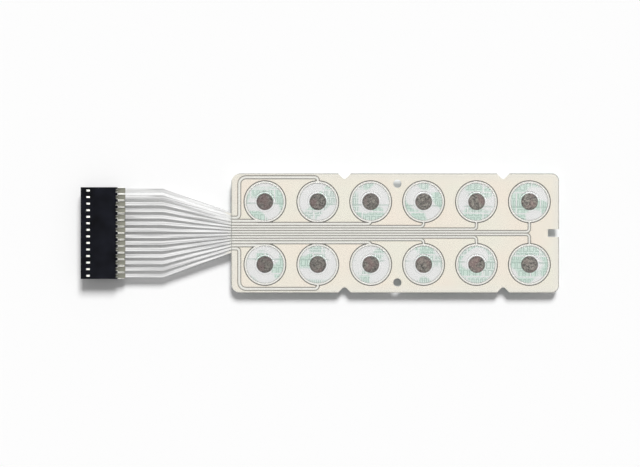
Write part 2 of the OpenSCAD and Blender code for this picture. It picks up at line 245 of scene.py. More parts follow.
def key_place(tree, place):
    """How far a point of the panel is from the middle of its nearest key, and how far towards +Y of it."""
    first = centre_of(PADS[0])
    axes = add(tree, "ShaderNodeSeparateXYZ", {"Vector": place})
    run = add(tree, "ShaderNodeMath", {0: axes.outputs["X"], 1: first.x}, operation="SUBTRACT")
    along = add(tree, "ShaderNodeMath", {0: run.outputs[0], 1: KEY_SPACING / 2}, operation="PINGPONG")
    half = add(tree, "ShaderNodeMath", {0: axes.outputs["Y"]}, operation="ABSOLUTE")
    across = add(tree, "ShaderNodeMath", {0: half.outputs[0], 1: first.y}, operation="SUBTRACT")
    offset = add(tree, "ShaderNodeCombineXYZ", {"X": along.outputs[0], "Y": across.outputs[0]})
    distance = add(tree, "ShaderNodeVectorMath", {0: offset.outputs[0]}, operation="LENGTH")
    row = add(tree, "ShaderNodeMath", {0: axes.outputs["Y"]}, operation="SIGN")
    upward = add(tree, "ShaderNodeMath", {0: across.outputs[0], 1: row.outputs[0]}, operation="MULTIPLY")
    return distance.outputs["Value"], upward.outputs[0]


def edge_distance(tree, place):
    """How far a point is past the panel's outline with its round corners, below zero inside it."""
    low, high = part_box("release_liner")
    inner = Vector(((high.x - low.x) / 2 - CORNER_R, (high.y - low.y) / 2 - CORNER_R, 0.0))
    middle = add(tree, "ShaderNodeVectorMath", {0: place, 1: (low + high) / 2}, operation="SUBTRACT")
    level = add(tree, "ShaderNodeVectorMath", {0: middle.outputs[0], 1: (1.0, 1.0, 0.0)},
                operation="MULTIPLY")
    apart = add(tree, "ShaderNodeVectorMath", {0: level.outputs[0]}, operation="ABSOLUTE")
    past = add(tree, "ShaderNodeVectorMath", {0: apart.outputs[0], 1: inner}, operation="SUBTRACT")
    beyond = add(tree, "ShaderNodeVectorMath", {0: past.outputs[0], 1: (0.0, 0.0, 0.0)}, operation="MAXIMUM")
    round_part = add(tree, "ShaderNodeVectorMath", {0: beyond.outputs[0]}, operation="LENGTH")
    axes = add(tree, "ShaderNodeSeparateXYZ", {"Vector": past.outputs[0]})
    most = add(tree, "ShaderNodeMath", {0: axes.outputs["X"], 1: axes.outputs["Y"]}, operation="MAXIMUM")
    within = add(tree, "ShaderNodeMath", {0: most.outputs[0], 1: 0.0}, operation="MINIMUM")
    whole = add(tree, "ShaderNodeMath", {0: round_part.outputs["Value"], 1: within.outputs[0]},
                operation="ADD")
    return add(tree, "ShaderNodeMath", {0: whole.outputs[0], 1: CORNER_R}, operation="SUBTRACT").outputs[0]


def tail_place(tree, place):
    """X along the tail, and Y across it as if the tail were as wide all along as at the connector."""
    axes = add(tree, "ShaderNodeSeparateXYZ", {"Vector": place})
    width = add(tree, "ShaderNodeMapRange", {"Value": axes.outputs["X"], "From Min": ROOT_X,
                                             "From Max": BEND_X, "To Min": ROOT_HALF / TAIL_HALF})
    spread = add(tree, "ShaderNodeMath", {0: axes.outputs["Y"], 1: width.outputs[0]}, operation="DIVIDE")
    return axes.outputs["X"], spread.outputs[0]


def lead_tint(tree, place, colours):
    """Silver-white of a printed lead with grey streaks along it, and how far a point is on the tail."""
    along, across = tail_place(tree, place)
    # Distances from a lead's middle at which the line along it and its dark sides start and are full
    line_start, line_full = 0.3 * MM, 0.1 * MM
    side_start, side_full = 0.5 * MM, 0.7 * MM
    # Lengths over which those lines end past the bend, and the look of the tail begins at its root
    bend_fade, root_fade = 9 * MM, 3 * MM
    # The streaks are 0.6 mm wide and about thirty times as long
    streak_width, draw_out = 0.6, 0.03
    drawn = add(tree, "ShaderNodeMath", {0: along, 1: draw_out}, operation="MULTIPLY")
    run = add(tree, "ShaderNodeCombineXYZ", {"X": drawn.outputs[0], "Y": across})
    streaks = add(tree, "ShaderNodeTexNoise", {"Vector": run.outputs[0], "Scale": per_mm(streak_width),
                                               "Detail": 2.0})
    streak = add(tree, "ShaderNodeMapRange", {"Value": streaks.outputs["Fac"], "From Min": 0.42,
                                              "From Max": 0.68})
    past = add(tree, "ShaderNodeMath", {0: across, 1: centre_of(TERMINALS[0]).y}, operation="SUBTRACT")
    off_middle = add(tree, "ShaderNodeMath", {0: past.outputs[0], 1: LEAD_SPACING / 2}, operation="PINGPONG")
    middle = add(tree, "ShaderNodeMapRange", {"Value": off_middle.outputs[0], "From Min": line_start,
                                              "From Max": line_full, "To Max": 0.6})
    side = add(tree, "ShaderNodeMapRange", {"Value": off_middle.outputs[0], "From Min": side_start,
                                            "From Max": side_full})
    ruled = add(tree, "ShaderNodeMath", {0: middle.outputs[0], 1: side.outputs[0]}, operation="MAXIMUM")
    # The leads keep even distances only on the straight stretch
    straight = add(tree, "ShaderNodeMapRange", {"Value": along, "From Min": BEND_X + bend_fade,
                                                "From Max": BEND_X})
    lines = add(tree, "ShaderNodeMath", {0: ruled.outputs[0], 1: straight.outputs[0]}, operation="MULTIPLY")
    marked = add(tree, "ShaderNodeMath", {0: streak.outputs[0], 1: lines.outputs[0]}, operation="MAXIMUM")
    on_tail = add(tree, "ShaderNodeMapRange", {"Value": along, "From Min": ROOT_X,
                                               "From Max": ROOT_X - root_fade})
    share = add(tree, "ShaderNodeMath", {0: marked.outputs[0], 1: on_tail.outputs[0]}, operation="MULTIPLY")
    bright = add(tree, "ShaderNodeMix", {FACTOR: on_tail.outputs[0], FIRST: colours.trace,
                                         SECOND: colours.lead}, data_type="RGBA")
    tint = add(tree, "ShaderNodeMix", {FACTOR: share.outputs[0], FIRST: bright.outputs[MIXED],
                                       SECOND: colours.lead_streak}, data_type="RGBA")
    return tint.outputs[MIXED], on_tail.outputs[0]


def cream_ground_ink(sizes, colours):
    """Screen-printed conductor: under a matt cream coat on the panel, with warm and cool patches and
    a fine mesh grain, and bare and streaked like the other leads on the tail."""
    material, tree = start_material("screen_printed_cream_ink")
    place = add(tree, "ShaderNodeTexCoord").outputs["Object"]
    patches = add(tree, "ShaderNodeTexNoise", {"Vector": place, "Scale": per_mm(22), "Detail": 1.0})
    share = add(tree, "ShaderNodeMapRange", {"Value": patches.outputs["Fac"], "From Min": 0.35,
                                             "From Max": 0.65})
    tint = add(tree, "ShaderNodeMix", {FACTOR: share.outputs[0], FIRST: colours.ground_warm,
                                       SECOND: colours.ground_cool}, data_type="RGBA")
    border = add(tree, "ShaderNodeMapRange", {"Value": edge_distance(tree, place),
                                              "From Min": -sizes.border_start,
                                              "From Max": -sizes.border_full, "To Max": 0.8})
    coat = add(tree, "ShaderNodeMix", {FACTOR: border.outputs[0], FIRST: tint.outputs[MIXED],
                                       SECOND: colours.ground_border}, data_type="RGBA")
    # The print's mesh is about 0.1 mm and is drawn at 0.5 mm so that it shows
    grain = add(tree, "ShaderNodeTexNoise", {"Vector": place, "Scale": per_mm(0.5), "Detail": 2.0})
    rough = add(tree, "ShaderNodeMapRange", {"Value": grain.outputs["Fac"], "To Min": 0.5, "To Max": 0.7})
    bump = add(tree, "ShaderNodeBump", {"Height": grain.outputs["Fac"], "Strength": 0.02,
                                        "Distance": 0.02 * MM})
    lead, on_tail = lead_tint(tree, place, colours)
    whole = add(tree, "ShaderNodeMix", {FACTOR: on_tail, FIRST: coat.outputs[MIXED], SECOND: lead},
                data_type="RGBA")
    surface = add(tree, "ShaderNodeBsdfPrincipled", {
        "Base Color": whole.outputs[MIXED], "Roughness": rough.outputs[0], "Normal": bump.outputs[0]})
    add(tree, "ShaderNodeOutputMaterial", {"Surface": surface.outputs[0]})
    return material


def silver_trace_ink(colours):
    """Silver-white conductor ink: even on the panel, and streaked along the leads of the tail."""
    material, tree = start_material("screen_printed_silver_ink")
    place = add(tree, "ShaderNodeTexCoord").outputs["Object"]
    tint, _ = lead_tint(tree, place, colours)
    # The mesh grain is drawn at 0.5 mm here too so that it shows
    grain = add(tree, "ShaderNodeTexNoise", {"Vector": place, "Scale": per_mm(0.5), "Detail": 2.0})
    rough = add(tree, "ShaderNodeMapRange", {"Value": grain.outputs["Fac"], "To Min": 0.35, "To Max": 0.6})
    surface = add(tree, "ShaderNodeBsdfPrincipled", {"Base Color": tint, "Roughness": rough.outputs[0]})
    add(tree, "ShaderNodeOutputMaterial", {"Surface": surface.outputs[0]})
    return material


def acrylic_adhesive(sizes, colours):
    """Cast acrylic adhesive: grey, dull and a little uneven, with painted shade in a ring round each key."""
    material, tree = start_material("grey_acrylic_adhesive")
    place = add(tree, "ShaderNodeTexCoord").outputs["Object"]
    # Painted shade: the adhesive darkens in a ring round each key, where the dome's rim would shade it
    near = add(tree, "ShaderNodeMapRange", {"Value": key_place(tree, place)[0],
                                            "From Min": sizes.dark_ring + sizes.dark_fade,
                                            "From Max": sizes.dark_ring})
    cut = add(tree, "ShaderNodeMix", {FACTOR: near.outputs[0], FIRST: colours.adhesive,
                                      SECOND: colours.adhesive_ring_shade}, data_type="RGBA")
    cast = add(tree, "ShaderNodeTexNoise", {"Vector": place, "Scale": per_mm(2.5), "Detail": 3.0})
    shade = add(tree, "ShaderNodeMapRange", {"Value": cast.outputs["Fac"], "To Min": 0.85, "To Max": 1.15})
    tint = add(tree, "ShaderNodeVectorMath", {0: cut.outputs[MIXED], "Scale": shade.outputs[0]},
               operation="SCALE")
    surface = add(tree, "ShaderNodeBsdfPrincipled", {"Base Color": tint.outputs[0], "Roughness": 0.6})
    add(tree, "ShaderNodeOutputMaterial", {"Surface": surface.outputs[0]})
    return material


def printed_liner_paper(sizes, colours):
    """Coated release paper: pale green boxes, blocks and rules are printed on its rear and show faintly."""
    material, tree = start_material("printed_release_paper")
    place = add(tree, "ShaderNodeTexCoord").outputs["Object"]
    # The print's own units are millimetres, and its rows slope a little
    rows = add(tree, "ShaderNodeMapping", {"Vector": place, "Rotation": (0.0, 0.0, math.radians(0.8)),
                                           "Scale": (per_mm(1), per_mm(1), per_mm(1))})
    boxes = add(tree, "ShaderNodeTexBrick", {
        "Vector": rows.outputs[0], "Color1": colours.paper_wash, "Color2": colours.paper,
        "Mortar": colours.paper, "Scale": 1.0, "Mortar Size": 0.3, "Mortar Smooth": 0.4,
        "Bias": -0.3, "Brick Width": sizes.print_box_width / MM,
        "Row Height": sizes.print_box_height / MM}, offset=0.37)
    blocks = add(tree, "ShaderNodeTexBrick", {
        "Vector": rows.outputs[0], "Scale": 1.0, "Mortar Size": 0.8, "Mortar Smooth": 1.0,
        "Brick Width": sizes.print_block_width / MM, "Row Height": sizes.print_row_height / MM},
        offset=0.3, squash=0.7, squash_frequency=3)
    # Only the soft rims of the blocks are inked
    outline = add(tree, "ShaderNodeMath", {0: blocks.outputs["Fac"], 1: 0.48, 2: 0.36}, operation="COMPARE")
    inside = add(tree, "ShaderNodeMath", {0: 1.0, 1: boxes.outputs["Fac"]}, operation="SUBTRACT")
    marked = add(tree, "ShaderNodeMath", {0: outline.outputs[0], 1: inside.outputs[0]}, operation="MULTIPLY")
    line = add(tree, "ShaderNodeSeparateXYZ", {"Vector": rows.outputs[0]})
    off_rule = add(tree, "ShaderNodeMath", {0: line.outputs["Y"], 1: sizes.rule_spacing / 2 / MM},
                   operation="PINGPONG")
    ruled = add(tree, "ShaderNodeMapRange", {"Value": off_rule.outputs[0], "From Min": 0.4,
                                             "From Max": 0.15})
    patches = add(tree, "ShaderNodeTexNoise", {"Vector": place, "Scale": per_mm(9), "Detail": 0.0})
    kept = add(tree, "ShaderNodeMapRange", {"Value": patches.outputs["Fac"], "From Min": 0.48,
                                            "From Max": 0.54})
    # The rules run on past the patches of boxes and blocks
    longer = add(tree, "ShaderNodeMapRange", {"Value": patches.outputs["Fac"], "From Min": 0.38,
                                              "From Max": 0.46, "To Max": ruled.outputs[0]})
    wash = add(tree, "ShaderNodeMix", {FACTOR: kept.outputs[0], FIRST: colours.paper,
                                       SECOND: boxes.outputs["Color"]}, data_type="RGBA")
    # The print is full at the rear face and fainter through the paper
    height = add(tree, "ShaderNodeSeparateXYZ", {"Vector": place})
    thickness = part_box("release_liner")[1].z
    strength = add(tree, "ShaderNodeMapRange", {"Value": height.outputs["Z"], "From Max": thickness,
                                                "To Min": 1.0, "To Max": 0.6})
    marks = add(tree, "ShaderNodeMath", {0: marked.outputs[0], 1: kept.outputs[0]}, operation="MULTIPLY")
    share = add(tree, "ShaderNodeMath", {0: marks.outputs[0], 1: longer.outputs[0]}, operation="MAXIMUM")
    shown = add(tree, "ShaderNodeMath", {0: share.outputs[0], 1: strength.outputs[0]}, operation="MULTIPLY")
    tint = add(tree, "ShaderNodeMix", {FACTOR: shown.outputs[0], FIRST: wash.outputs[MIXED],
                                       SECOND: colours.paper_print}, data_type="RGBA")
    # Clumps of fibres, about 0.8 mm across, make the gloss a little uneven
    fibres = add(tree, "ShaderNodeTexNoise", {"Vector": place, "Scale": per_mm(0.8), "Detail": 4.0})
    rough = add(tree, "ShaderNodeMapRange", {"Value": fibres.outputs["Fac"], "To Min": 0.45, "To Max": 0.65})
    surface = add(tree, "ShaderNodeBsdfPrincipled", {"Base Color": tint.outputs[MIXED],
                                                     "Roughness": rough.outputs[0]})
    add(tree, "ShaderNodeOutputMaterial", {"Surface": surface.outputs[0]})
    return material


def clear_film(name, colours, tint, haze, gloss, lines, strength):
    """Clear polyester, or the adhesive between two films: see-through with a faint haze, a gloss that grows
    at a slant, grey where it was cut or runs bare along the tail, and painted shade at the foot of a dome's
    step. lines makes the share of the grey at a point."""
    material, tree = start_material(name)
    line = lines(tree, add(tree, "ShaderNodeTexCoord").outputs["Object"])
    mixed = add(tree, "ShaderNodeMix", {FACTOR: line, FIRST: tint, SECOND: colours.film_line},
                data_type="RGBA")
    cloud = add(tree, "ShaderNodeBsdfDiffuse", {"Color": mixed.outputs[MIXED]})
    cover = add(tree, "ShaderNodeMath", {0: line, 1: strength, 2: haze}, operation="MULTIPLY_ADD")
    through = add(tree, "ShaderNodeBsdfTransparent", {"Color": WHITE})
    body = add(tree, "ShaderNodeMixShader", {0: cover.outputs[0], 1: through.outputs[0],
                                             2: cloud.outputs[0]})
    facing = add(tree, "ShaderNodeFresnel", {"IOR": 1.5})
    # Only the near face shines: the far one is glued to the next layer, or counted in the gloss
    far = add(tree, "ShaderNodeNewGeometry").outputs["Backfacing"]
    near = add(tree, "ShaderNodeMath", {0: 1.0, 1: far}, operation="SUBTRACT")
    skin = add(tree, "ShaderNodeMath", {0: facing.outputs[0], 1: near.outputs[0]}, operation="MULTIPLY")
    share = add(tree, "ShaderNodeMath", {0: skin.outputs[0], 1: gloss}, operation="MULTIPLY")
    shine = add(tree, "ShaderNodeBsdfAnisotropic", {"Roughness": 0.25})
    surface = add(tree, "ShaderNodeMixShader", {0: share.outputs[0], 1: body.outputs[0],
                                                2: shine.outputs[0]})
    add(tree, "ShaderNodeOutputMaterial", {"Surface": surface.outputs[0]})
    return material


def tail_edges(tree, place):
    """The share of grey of the bare film of the tail, most at its two cut sides. It throws a denser shadow
    than its clear look would give."""
    # Distances from the tail's side at which the grey line starts and is full
    line_start, line_full = 0.35 * MM, 0.15 * MM
    # Grey that is added where the film throws its shadow
    shadow_share = 1.1
    along, across = tail_place(tree, place)
    half = add(tree, "ShaderNodeMath", {0: across}, operation="ABSOLUTE")
    side = add(tree, "ShaderNodeMapRange", {"Value": half.outputs[0], "From Min": TAIL_HALF - line_start,
                                            "From Max": TAIL_HALF - line_full, "To Min": 0.1})
    shadow = add(tree, "ShaderNodeLightPath").outputs["Is Shadow Ray"]
    dense = add(tree, "ShaderNodeMath", {0: shadow, 1: shadow_share, 2: side.outputs[0]},
                operation="MULTIPLY_ADD")
    on_tail = add(tree, "ShaderNodeMath", {0: along, 1: ROOT_X}, operation="LESS_THAN")
    return add(tree, "ShaderNodeMath", {0: dense.outputs[0], 1: on_tail.outputs[0]},
               operation="MULTIPLY").outputs[0]


def sheet_edges(tree, place):
    """The share of grey at the cut edges of the panel's films."""
    # Distances from the edge at which the grey line starts and is full
    line_start, line_full = 0.4 * MM, 0.2 * MM
    return add(tree, "ShaderNodeMapRange", {"Value": edge_distance(tree, place), "From Min": -line_start,
                                            "From Max": -line_full}).outputs[0]


def ring_line(radius, width, least=1.0):
    """A maker of the share of grey on a fine ring round each key: the least on its -Y half, and growing
    from there to 1 at its +Y side. With least below 1 the ring is painted shade, darker on the +Y side."""
    def share(tree, place):
        distance, upward = key_place(tree, place)
        off = add(tree, "ShaderNodeMath", {0: distance, 1: radius}, operation="SUBTRACT")
        apart = add(tree, "ShaderNodeMath", {0: off.outputs[0]}, operation="ABSOLUTE")
        side = add(tree, "ShaderNodeMapRange", {"Value": upward, "From Max": radius, "To Min": least})
        return add(tree, "ShaderNodeMapRange", {"Value": apart.outputs[0], "From Min": width,
                                                "From Max": width / 2, "To Max": side.outputs[0]}).outputs[0]
    return share


def carbon_pad(sizes, colours):
    """Pressed carbon: dull grey-brown with dark and pale specks, a dark rim and reddish stains, and painted
    light that makes the pads paler from key to key away from the tail."""
    material, tree = start_material("speckled_carbon")
    place = add(tree, "ShaderNodeTexCoord").outputs["Object"]
    specks = add(tree, "ShaderNodeTexNoise", {"Vector": place, "Scale": per_mm(0.8), "Detail": 3.0,
                                              "Roughness": 0.7})
    share = add(tree, "ShaderNodeMapRange", {"Value": specks.outputs["Fac"], "From Min": 0.36,
                                             "From Max": 0.66})
    tint = add(tree, "ShaderNodeMix", {FACTOR: share.outputs[0], FIRST: colours.pad_dark,
                                       SECOND: colours.pad_light}, data_type="RGBA")
    patches = add(tree, "ShaderNodeTexNoise", {"Vector": place, "Scale": per_mm(4), "Detail": 1.0})
    stain = add(tree, "ShaderNodeMapRange", {"Value": patches.outputs["Fac"], "From Min": 0.5,
                                             "From Max": 0.65, "To Max": 0.6})
    stained = add(tree, "ShaderNodeMix", {FACTOR: stain.outputs[0], FIRST: tint.outputs[MIXED],
                                          SECOND: colours.pad_red}, data_type="RGBA")
    # Painted light: the pads grow paler towards +X, away from the tail
    low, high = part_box("release_liner")
    along = add(tree, "ShaderNodeSeparateXYZ", {"Vector": place})
    shade = add(tree, "ShaderNodeMapRange", {"Value": along.outputs["X"], "From Min": low.x,
                                             "From Max": high.x, "To Min": 0.72, "To Max": 1.35})
    whole = add(tree, "ShaderNodeVectorMath", {0: stained.outputs[MIXED], "Scale": shade.outputs[0]},
                operation="SCALE")
    # The pad darkens towards its edge
    rim = add(tree, "ShaderNodeMapRange", {"Value": key_place(tree, place)[0],
                                           "From Min": sizes.pad_rim_start,
                                           "From Max": sizes.pad_rim_full, "To Max": 0.5})
    rim_darkened = add(tree, "ShaderNodeMix", {FACTOR: rim.outputs[0], FIRST: whole.outputs[0],
                                       SECOND: colours.pad_dark}, data_type="RGBA")
    bump = add(tree, "ShaderNodeBump", {"Height": specks.outputs["Fac"], "Strength": 0.5,
                                        "Distance": 0.05 * MM})
    surface = add(tree, "ShaderNodeBsdfPrincipled", {
        "Base Color": rim_darkened.outputs[MIXED], "Roughness": 0.85, "Normal": bump.outputs[0]})
    add(tree, "ShaderNodeOutputMaterial", {"Surface": surface.outputs[0]})
    return material


def moulded_nylon(colours):
    """Black nylon, moulded: a satin skin with a fine spark-eroded texture."""
    material, tree = start_material("black_moulded_nylon")
    place = add(tree, "ShaderNodeTexCoord").outputs["Object"]
    # The mould's texture is about 0.05 mm and is drawn at 0.3 mm so that it shows
    skin = add(tree, "ShaderNodeTexNoise", {"Vector": place, "Scale": per_mm(0.3), "Detail": 2.0})
    flow = add(tree, "ShaderNodeTexNoise", {"Vector": place, "Scale": per_mm(6), "Detail": 1.0})
    shade = add(tree, "ShaderNodeMapRange", {"Value": flow.outputs["Fac"], "From Min": 0.3, "From Max": 0.7,
                                             "To Min": 0.4, "To Max": 1.8})
    tint = add(tree, "ShaderNodeVectorMath", {0: colours.housing[:3], "Scale": shade.outputs[0]},
               operation="SCALE")
    rough = add(tree, "ShaderNodeMapRange", {"Value": skin.outputs["Fac"], "To Min": 0.45, "To Max": 0.65})
    bump = add(tree, "ShaderNodeBump", {"Height": skin.outputs["Fac"], "Strength": 0.15,
                                        "Distance": 0.02 * MM})
    surface = add(tree, "ShaderNodeBsdfPrincipled", {
        "Base Color": tint.outputs[0], "Roughness": rough.outputs[0], "Specular IOR Level": 0.06,
        "Normal": bump.outputs[0]})
    add(tree, "ShaderNodeOutputMaterial", {"Surface": surface.outputs[0]})
    return material


def tin_plate(colours):
    """Stamped brass with tin plate: one metal, with a painted highlight on the rolled edges and painted shade
    in the channel.
    """
    material, tree = start_material("tin_plated_brass")
    place = add(tree, "ShaderNodeTexCoord").outputs["Object"]
    height = add(tree, "ShaderNodeSeparateXYZ", {"Vector": place})
    film_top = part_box("circuit_film")[1].z
    # Heights up to which the channel has painted shade and from which the edges have a painted highlight
    shade_top, highlight_low = film_top + 0.4 * MM, film_top + 0.7 * MM
    edge = add(tree, "ShaderNodeMapRange", {"Value": height.outputs["Z"], "From Min": shade_top,
                                            "From Max": highlight_low})
    scuffs = add(tree, "ShaderNodeTexNoise", {"Vector": place, "Scale": per_mm(0.5), "Detail": 3.0})
    tint = add(tree, "ShaderNodeMix", {FACTOR: edge.outputs[0], FIRST: colours.tin_channel_shade,
                                       SECOND: colours.tin_highlight}, data_type="RGBA")
    rough = add(tree, "ShaderNodeMapRange", {"Value": scuffs.outputs["Fac"], "To Min": 0.45, "To Max": 0.6})
    surface = add(tree, "ShaderNodeBsdfPrincipled", {
        "Base Color": tint.outputs[MIXED], "Metallic": 1.0, "Roughness": rough.outputs[0]})
    add(tree, "ShaderNodeOutputMaterial", {"Surface": surface.outputs[0]})
    return material


def finish_nodes(names, material):
    """Gives CAD nodes that keep their own shape their material."""
    for name in names:
        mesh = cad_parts[name].data
        mesh.materials.clear()
        mesh.materials.append(material)


def new_object(name, mesh, material):
    """A new object in the scene with its material."""
    made = bpy.data.objects.new(name, mesh)
    bpy.context.scene.collection.objects.link(made)
    mesh.materials.clear()
    mesh.materials.append(material)
    return made


def place_piece(name, mesh, material):
    """A new piece of the part with its material."""
    piece = new_object(name, mesh, material)
    return piece


def pass_light(piece):
    """Lets lamps and bounced light through a clear piece, so that what lies under it is lit in full."""
    piece.visible_shadow = False
    piece.visible_diffuse = False


def finished_mesh(name, shape):
    """A new mesh with the faces of a bmesh, which is freed."""
    mesh = bpy.data.meshes.new(name)
    shape.to_mesh(mesh)
    shape.free()
    return mesh


def thinner_copy(node, gap):
    """The mesh of a flat CAD layer, with each face drawn in by the gap."""
    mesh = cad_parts[node].data.copy()
    middle = centre_of(node).z
    for vertex in mesh.vertices:
        vertex.co.z += gap if vertex.co.z < middle else -gap
    return mesh


def dome_profile(centre):
    """The (radius, height) points of the CAD film's upper face round a key, from the rim inwards."""
    tops = {}
    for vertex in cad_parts["dome_film"].data.vertices:
        offset = vertex.co - centre
        radius = math.hypot(offset.x, offset.y)
        if radius < KEY_SPACING / 2:
            step = round(radius / MM, 2)
            tops[step] = max(tops.get(step, 0.0), vertex.co.z)
    points = sorted(((step * MM, height) for step, height in tops.items()), reverse=True)
    flat = min(height for _, height in points)
    while points[1][1] - flat < SAME:
        points.pop(0)
    return points + [(0.0, points[-1][1])]


def turned_shell(name, centre, profile, thickness, segments, steps):
    """A closed shell turned about a key's axis, with the profile above and a parallel face below."""
    rings = []
    for (r0, z0), (r1, z1) in zip(profile, profile[1:]):
        rings += [(r0 + (r1 - r0) * i / steps, z0 + (z1 - z0) * i / steps) for i in range(steps)]
    shell = bmesh.new()
    rims = []
    for drop in (0.0, thickness):
        loops = [[shell.verts.new((centre.x + r * math.cos(2 * math.pi * k / segments),
                                   centre.y + r * math.sin(2 * math.pi * k / segments), z - drop))
                  for k in range(segments)] for r, z in rings]
        pole = shell.verts.new((centre.x, centre.y, profile[-1][1] - drop))
        for outer, inner in zip(loops, loops[1:]):
            for k in range(segments):
                shell.faces.new((outer[k - 1], outer[k], inner[k], inner[k - 1]))
        for k in range(segments):
            shell.faces.new((loops[-1][k - 1], loops[-1][k], pole))
        rims.append(loops[0])
    above, below = rims
    for k in range(segments):
        shell.faces.new((below[k - 1], below[k], above[k], above[k - 1]))
    bmesh.ops.recalc_face_normals(shell, faces=shell.faces)
    for face in shell.faces:
        face.smooth = True
    return finished_mesh(name, shell)


def ragged_disc(name, node, rings, segments, ragged, grain):
    """A contact pad in the box of its CAD disc, with a bitten edge and a grainy upper face."""
    low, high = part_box(node)
    centre = (low + high) / 2
    radius = (high.x - low.x) / 2
    # A higher rate gives more bites round the edge
    bite_rate = 4
    disc = bmesh.new()

    def point(share, k, z, depth):
        """A point at a share of the radius, in direction k, up to a depth of grain below z."""
        turn = 2 * math.pi * k / segments
        spoke = Vector((math.cos(turn), math.sin(turn), 0.0))
        bite = ragged * (0.5 + 0.5 * noise.noise(spoke * bite_rate + centre * per_mm(1)))
        place = centre + spoke * (radius - bite) * share
        rough = 0.5 + 0.5 * noise.noise(place * per_mm(0.5))
        return disc.verts.new((place.x, place.y, z - depth * rough))

    loops = [[point(i / rings, k, high.z, grain) for k in range(segments)] for i in range(1, rings + 1)]
    loops.append([point(1.0, k, low.z, 0.0) for k in range(segments)])
    for inner, outer in zip(loops, loops[1:]):
        for k in range(segments):
            disc.faces.new((inner[k - 1], outer[k - 1], outer[k], inner[k]))
    top = disc.verts.new((centre.x, centre.y, high.z - grain))
    for k in range(segments):
        disc.faces.new((loops[0][k - 1], loops[0][k], top))
    disc.faces.new(reversed(loops[-1]))
    bmesh.ops.recalc_face_normals(disc, faces=disc.faces)
    return finished_mesh(name, disc)


